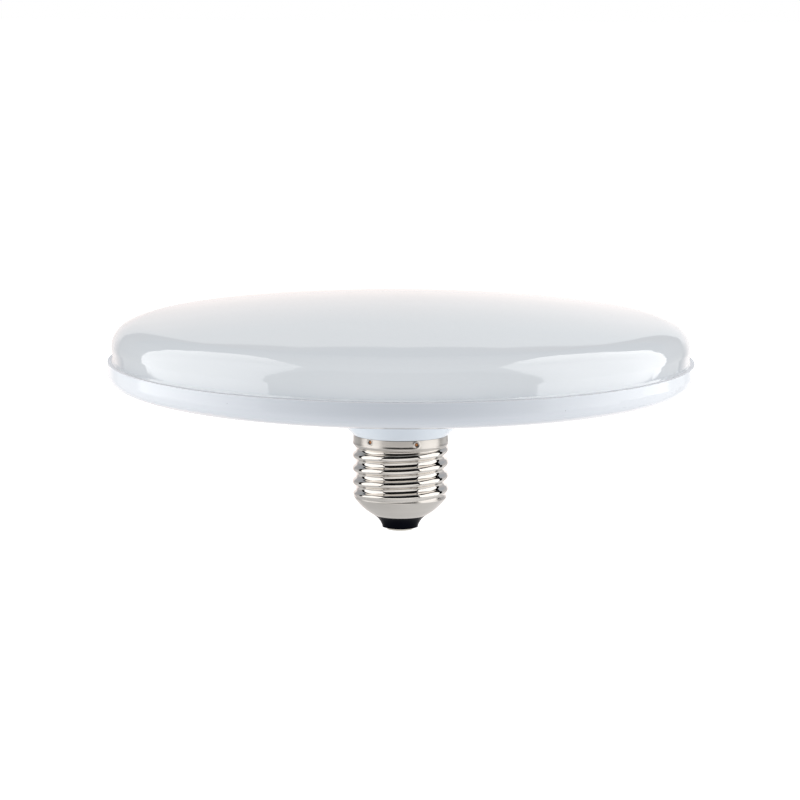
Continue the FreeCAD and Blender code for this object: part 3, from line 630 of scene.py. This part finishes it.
def dress_inside():
    """Finishes of the pieces that the casing hides."""
    looks = {
        "heat_spreader": plain_material("rolled_aluminium", (0.80, 0.80, 0.81), 0.32, 1.0),
        "led_board": plain_material("white_solder_mask", (0.86, 0.86, 0.83), 0.35),
        "leds": plain_material("phosphor", (0.92, 0.74, 0.22), 0.45),
        "board_screws": plain_material("zinc_plate", (0.66, 0.66, 0.64), 0.28, 1.0),
        "board_socket": plain_material("white_nylon", (0.84, 0.83, 0.78), 0.42),
        "dc_pins": plain_material("tin_plate", (0.76, 0.74, 0.70), 0.22, 1.0),
        "driver_board": plain_material("green_laminate", (0.05, 0.20, 0.09), 0.38),
        "capacitor": plain_material("dark_sleeve", (0.03, 0.035, 0.06), 0.30),
        "fuse_resistor": plain_material("blue_coating", (0.12, 0.22, 0.38), 0.45),
        "black": plain_material("black_epoxy", (0.02, 0.02, 0.022), 0.55),
        "film_capacitor": plain_material("yellow_case", (0.80, 0.58, 0.08), 0.40),
        "choke_core": plain_material("ferrite", (0.05, 0.05, 0.055), 0.60),
        "choke_winding": plain_material("enamelled_copper", (0.62, 0.22, 0.08), 0.25, 1.0),
        "live_lead": plain_material("red_silicone", (0.42, 0.02, 0.015), 0.50),
        "neutral_lead": plain_material("black_silicone", (0.015, 0.015, 0.017), 0.50),
    }
    alike = {
        "leds_outer_ring": "leds", "leds_middle_ring": "leds", "leds_inner_ring": "leds",
        "bulk_capacitor": "capacitor", "output_capacitor": "capacitor",
        "bridge_rectifier": "black", "driver_chip": "black", "flyback_diode": "black",
    }
    for name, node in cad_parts.items():
        look = looks.get(alike.get(name, name))
        if look:
            paint(node, look)


# Stage


def add_camera():
    """The camera at the photograph's angle, aimed so that the seam's centre falls on its pixel."""
    seam = Vector((0.0, 0.0, low_of("diffuser").z + SKIRT_DEPTH))
    back = Vector((0.0, -math.cos(CAMERA_ELEVATION), math.sin(CAMERA_ELEVATION)))
    place = seam + back * CAMERA_DISTANCE
    right = Vector((1.0, 0.0, 0.0))
    up = back.cross(right)
    middle = IMAGE_SIZE / 2
    aim = seam - (right * (SEAM_PIXEL[0] - middle) + up * (middle - SEAM_PIXEL[1])) / SCALE_AT_SEAM
    camera = bpy.data.cameras.new("camera")
    camera.sensor_width = SENSOR
    camera.lens = SCALE_AT_SEAM * CAMERA_DISTANCE * SENSOR / IMAGE_SIZE
    camera.clip_start = 0.05
    camera.clip_end = 60.0
    holder = bpy.data.objects.new("camera", camera)
    scene.collection.objects.link(holder)
    look = (place - aim).to_track_quat("Z", "Y").to_matrix().to_4x4()
    holder.matrix_world = Matrix.Translation(place) @ look @ Matrix.Rotation(CAMERA_ROLL, 4, "Z")
    scene.camera = holder


def emission_material(name):
    """A glowing material with its nodes, links and light."""
    material = bpy.data.materials.new(name)
    material.use_nodes = True
    nodes = material.node_tree.nodes
    links = material.node_tree.links
    nodes.clear()
    light = nodes.new("ShaderNodeEmission")
    output = nodes.new("ShaderNodeOutputMaterial")
    links.new(light.outputs["Emission"], output.inputs["Surface"])
    return material, nodes, links, light


# The cards that the lamp mirrors, in mm. Their outlines follow the edges of the reflections in the
# dome. A softbox stands on each side, with (y, z) corners. Its front part stands farther out as a
# wing, so that the dome doesn't mirror it towards the back as well.
SOFTBOX_REACH = 200
SOFTBOX_LEFT = [
    (40, 565), (76, 582), (269, 649), (468, 692), (560, 654), (573, 575), (412, 398), (113, 184),
    (65, 107), (47, 51), (47, 6), (40, 5),
]
SOFTBOX_RIGHT = [
    (40, 586), (142, 637), (470, 757), (571, 740), (677, 699), (696, 616), (472, 419), (228, 240),
    (117, 152), (80, 93), (65, 38), (65, 6), (40, 4),
]
WING_REACH = 1500
WING_LEFT = [
    (909, 2353), (894, 1510), (867, 954), (848, 555), (838, 141), (841, -171), (848, -415),
    (549, -417), (132, -437), (-96, -582), (-671, -649), (-1086, -733), (-1078, -394), (-1083, 217),
    (-1064, 828), (-1043, 1439), (-920, 1927), (-798, 2398), (-477, 3005), (39, 3956), (542, 4221),
    (917, 4412), (925, 3906), (914, 3140),
]
WING_RIGHT = [
    (910, 2352), (894, 1510), (868, 954), (848, 556), (838, 141), (841, -170), (848, -415),
    (549, -417), (272, -430), (-88, -589), (-667, -653), (-1018, -718), (-1009, -396), (-1006, 218),
    (-991, 918), (-958, 1587), (-749, 2186), (-603, 2631), (33, 3618), (519, 4363), (917, 4571),
    (922, 3906), (916, 3140),
]

# The backdrop's (x, z) corners.
BACKDROP_DISTANCE = 900
BACKDROP = [
    (-700, -500), (-640, 40), (-563, 129), (-472, 215), (-366, 256), (-244, 300), (-178, 348),
    (-120, 386), (-74, 432), (0, 447), (74, 430), (120, 387), (178, 320), (244, 290), (366, 240),
    (472, 200), (563, 129), (640, 40), (700, -500),
]

# The softboxes' light at their front edges and farther back, and the share of it that is left at
# the top and at the back.
LIGHT_LEFT = ((2.25, 2.27, 2.29), (3.50, 3.50, 3.50))
LIGHT_RIGHT = ((2.75, 2.78, 2.80), (4.15, 4.15, 4.15))
TOP_SHARE = 0.62
BACK_SHARE = 0.86

# Between which places that light changes: y behind the front edge, z below the top, and y before
# the back. The wing's front is the softbox's own.
WING_FRONT = (-1118, -318)
SOFTBOX_TOP = (100, 420)
WING_TOP = (570, 3225)
SOFTBOX_BACK = (15, 50)
WING_BACK = (614, 956)


def add_card(name, axis, place, corners, ramps):
    """A glowing card seen only in reflections. Each ramp gives an axis, the two places in mm
    between which the light changes, and the two colours of light, which all multiply."""
    points = []
    for first, second in corners:
        point = [first * MM, second * MM]
        point.insert("xyz".index(axis), place * MM)
        points.append(point)
    card = finish_mesh(name, points, [tuple(range(len(points)))])
    material, nodes, links, light = emission_material(name)
    split = nodes.new("ShaderNodeSeparateXYZ")
    links.new(object_coordinates(nodes, links), split.inputs["Vector"])
    colour = None
    for along, start, end, first, second in ramps:
        climb = spread(nodes, links, split.outputs[along], 0.0, 1.0, start * MM, end * MM)
        ramp = colour_between(nodes, links, climb, first, second)
        colour = product(nodes, links, colour, ramp) if colour else ramp
    links.new(colour, light.inputs["Color"])
    card.data.materials.append(material)
    card.visible_camera = False
    card.visible_diffuse = False
    card.visible_shadow = False


def add_softbox(side, sign, corners, wing_corners, front_light, light):
    """A softbox and its wing, brighter away from the front edge and dimmer at the top and back."""
    add_card("softbox_" + side, "x", sign * SOFTBOX_REACH, corners, [
        ("Z", *SOFTBOX_TOP, light, dimmed(light, TOP_SHARE)),
        ("Y", *SOFTBOX_BACK, grey(1.0), grey(BACK_SHARE)),
    ])
    add_card("wing_" + side, "x", sign * WING_REACH, wing_corners, [
        ("Y", *WING_FRONT, front_light, light),
        ("Z", *WING_TOP, grey(1.0), grey(TOP_SHARE)),
        ("Y", *WING_BACK, grey(1.0), grey(BACK_SHARE)),
    ])


def add_cards():
    """Softboxes on both sides, and a backdrop that fades upwards and to its ends, with a slightly
    brighter right half."""
    add_softbox("left", -1, SOFTBOX_LEFT, WING_LEFT, *LIGHT_LEFT)
    add_softbox("right", 1, SOFTBOX_RIGHT, WING_RIGHT, *LIGHT_RIGHT)
    add_card("backdrop", "y", BACKDROP_DISTANCE, BACKDROP, [
        ("Z", 75, 316, (1.07, 0.99, 0.965), (0.78, 0.79, 0.80)),
        ("X", 0, 250, grey(1.0), (1.16, 1.20, 1.22)),
        ("X", -640, -400, (0.35, 0.37, 0.40), grey(1.0)),
        ("X", 400, 640, grey(1.0), (0.30, 0.32, 0.34)),
    ])


def link_softboxes():
    """Lets the softboxes light only the dome and the housing. The cap has panels of its own."""
    lit = bpy.data.collections.new("lit_by_cards")
    for piece in (bpy.data.objects["diffuser_dome"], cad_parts["housing"]):
        lit.objects.link(piece)
    for name in ("softbox_left", "wing_left", "softbox_right", "wing_right"):
        bpy.data.objects[name].light_linking.receiver_collection = lit


def add_floor():
    """A plain pale floor well below the lamp, which a holder would carry. It glows a little, so that
    it stays pale under the lamp."""
    half = 6000 * MM
    drop = -300 * MM
    corners = [(-half, -half, drop), (half, -half, drop), (half, half, drop), (-half, half, drop)]
    floor = finish_mesh("floor", corners, [(0, 1, 2, 3)])
    material, nodes, links, shader = new_material("pale_floor")
    vector = object_coordinates(nodes, links)
    cloud = noise(nodes, links, vector, 2.0, 3.0)
    pale = colour_between(nodes, links, cloud, grey(0.90), grey(0.92))
    links.new(pale, shader.inputs["Base Color"])
    shader.inputs["Roughness"].default_value = 0.8
    shader.inputs["Emission Color"].default_value = (1.0, 1.0, 1.0, 1.0)
    shader.inputs["Emission Strength"].default_value = 0.6
    floor.data.materials.append(material)
    floor.visible_diffuse = False
    floor.visible_glossy = False
    floor.visible_shadow = False


# The soft light that falls on every side of the lamp.
SOFT_LIGHT = (0.735, 0.737, 0.745)

# The studio seen in reflections, in degrees: azimuth away from the camera, from 0 in front of the
# lamp to 180 behind it, and elevation above the horizon. Later zones cover earlier ones.
CEILING = (0.44, 0.47, 0.51)
STUDIO = [
    # azimuth from, to, elevation from, to, softness, colour
    (0, 180, 45, 95, 12, (0.46, 0.47, 0.48)),
    (40, 110, -8, 24, 5, (0.42, 0.42, 0.43)),
    (110, 180, 0, 22, 3, (0.50, 0.50, 0.52)),
    (110, 180, -22, 1, 3, (0.60, 0.60, 0.60)),
    (0, 180, -95, -6, 4, (0.76, 0.76, 0.76)),
    (0, 56, -45, 68, 3, (0.010, 0.010, 0.010)),
]

# A zone that begins straight ahead begins this many degrees before it, to have no soft edge there.
BEFORE_AHEAD = 9

# The studio is dimmer on the left than on the right.
STUDIO_SIDES = (grey(0.87), grey(1.10))


def within(nodes, links, angle, low, high, soft):
    """1 between two angles in degrees and 0 beyond them, with soft edges."""
    masks = []
    for edge, sign in ((low, 1), (high, -1)):
        node = nodes.new("ShaderNodeMapRange")
        node.interpolation_type = "SMOOTHSTEP"
        node.inputs["From Min"].default_value = math.radians(edge - sign * soft / 2)
        node.inputs["From Max"].default_value = math.radians(edge + sign * soft / 2)
        links.new(angle, node.inputs["Value"])
        masks.append(node.outputs["Result"])
    return maths(nodes, links, "MULTIPLY", *masks)


def studio_colour(nodes, links):
    """The studio's colour in each direction, from its zones and its two sides."""
    coordinates = nodes.new("ShaderNodeTexCoord")
    split = nodes.new("ShaderNodeSeparateXYZ")
    links.new(coordinates.outputs["Generated"], split.inputs["Vector"])
    ahead = maths(nodes, links, "MULTIPLY", split.outputs["Y"], -1.0)
    turn = maths(nodes, links, "ARCTAN2", split.outputs["X"], ahead)
    azimuth = maths(nodes, links, "ABSOLUTE", turn)
    elevation = maths(nodes, links, "ARCSINE", split.outputs["Z"])
    colour = CEILING
    for first, last, low, high, soft, light in STUDIO:
        start = first if first else -BEFORE_AHEAD
        across = within(nodes, links, azimuth, start, last, soft)
        upright = within(nodes, links, elevation, low, high, soft)
        inside = maths(nodes, links, "MULTIPLY", across, upright)
        colour = colour_between(nodes, links, inside, colour, light)
    side = spread(nodes, links, split.outputs["X"], 0.0, 1.0, -0.6, 0.6)
    return product(nodes, links, colour, colour_between(nodes, links, side, *STUDIO_SIDES))


def add_world():
    """Even soft light, the studio in reflections, and white where the camera looks past the
    stage."""
    world = bpy.data.worlds.new("studio")
    scene.world = world
    world.use_nodes = True
    nodes = world.node_tree.nodes
    links = world.node_tree.links
    nodes.clear()
    path = nodes.new("ShaderNodeLightPath")
    mirrored = studio_colour(nodes, links)
    lit = colour_between(nodes, links, path.outputs["Is Diffuse Ray"], mirrored, SOFT_LIGHT)
    seen = colour_between(nodes, links, path.outputs["Is Camera Ray"], lit, grey(1.0))
    background = nodes.new("ShaderNodeBackground")
    links.new(seen, background.inputs["Color"])
    output = nodes.new("ShaderNodeOutputWorld")
    links.new(background.outputs["Background"], output.inputs["Surface"])
    # Sampled as a lamp, the world would give diffuse surfaces the reflections' light as well.
    world.cycles.sampling_method = "NONE"


# Lamps that light only the housing: place, aim, and width and height in mm, power in W, colour.
HOUSING_LAMPS = {
    "lamp_left": ((-600, 0, 10), (0, 0, 40), (300, 300), 2.1, (1.0, 0.95, 0.88)),
    "lamp_right": ((600, 0, 10), (0, 0, 40), (300, 300), 2.2, (1.0, 0.95, 0.88)),
    "lamp_below": ((0, -150, -600), (0, 0, 40), (300, 300), 0.55, (1.0, 0.99, 0.96)),
}

# The bright panels that light only the screw cap, which mirrors them, in the same terms.
CAP_LAMPS = {
    "panel_in_front": ((0, -274, -107), (0, 0, 15), (560, 230), 0.40, (1.0, 0.985, 0.97)),
    "panel_left": ((-190, -67, 76), (0, -67, 76), (234, 272), 0.29, (1.0, 0.985, 0.97)),
    "panel_right": ((190, -67, 76), (0, -67, 76), (234, 272), 0.29, (1.0, 0.985, 0.97)),
}


def add_linked_lamps(name, lamps, receiver, mirrored):
    """Area lamps that light one piece alone, mirrored in it or not."""
    lit = bpy.data.collections.new(name)
    lit.objects.link(receiver)
    for lamp, (place, aim, size, power, colour) in lamps.items():
        light = bpy.data.lights.new(lamp, "AREA")
        light.shape = "RECTANGLE"
        light.size = size[0] * MM
        light.size_y = size[1] * MM
        light.energy = power
        light.color = colour
        holder = bpy.data.objects.new(lamp, light)
        holder.location = Vector(place) * MM
        turn = (Vector(aim) - Vector(place)).to_track_quat("-Z", "Y")
        holder.rotation_euler = turn.to_euler()
        holder.visible_camera = False
        holder.visible_glossy = mirrored
        holder.light_linking.receiver_collection = lit
        scene.collection.objects.link(holder)


def add_stage(cap):
    """The camera, the light and the floor."""
    add_camera()
    add_world()
    add_cards()
    link_softboxes()
    add_floor()
    add_linked_lamps("lit_by_housing_lamps", HOUSING_LAMPS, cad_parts["housing"], False)
    add_linked_lamps("lit_by_cap_lamps", CAP_LAMPS, cap, True)
    scene.view_settings.view_transform = "Standard"


def main():
    """Dresses the lamp and sets up the studio round it."""
    diffuser = lathe("diffuser_dome", diffuser_outline(), DOME_SEGMENTS)
    dress(diffuser, "opal_diffuser", opal_material(), "diffuser")
    cap = dress(cap_piece(), "nickel_plate", nickel_material(), "cap_shell")
    paint(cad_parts["housing"], housing_material())
    paint(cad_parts["cap_insulator"], insulator_material())
    paint(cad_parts["centre_contact"], plain_material("contact_nickel", (0.74, 0.70, 0.62), 0.3, 1.0))
    dress_inside()
    # No piece but the cap is mirrored in another. The white housing above the thread would fill
    # the dark stripes that it has in the photograph.
    for piece in [diffuser, *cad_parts.values()]:
        piece.visible_glossy = False
    add_stage(cap)


main()
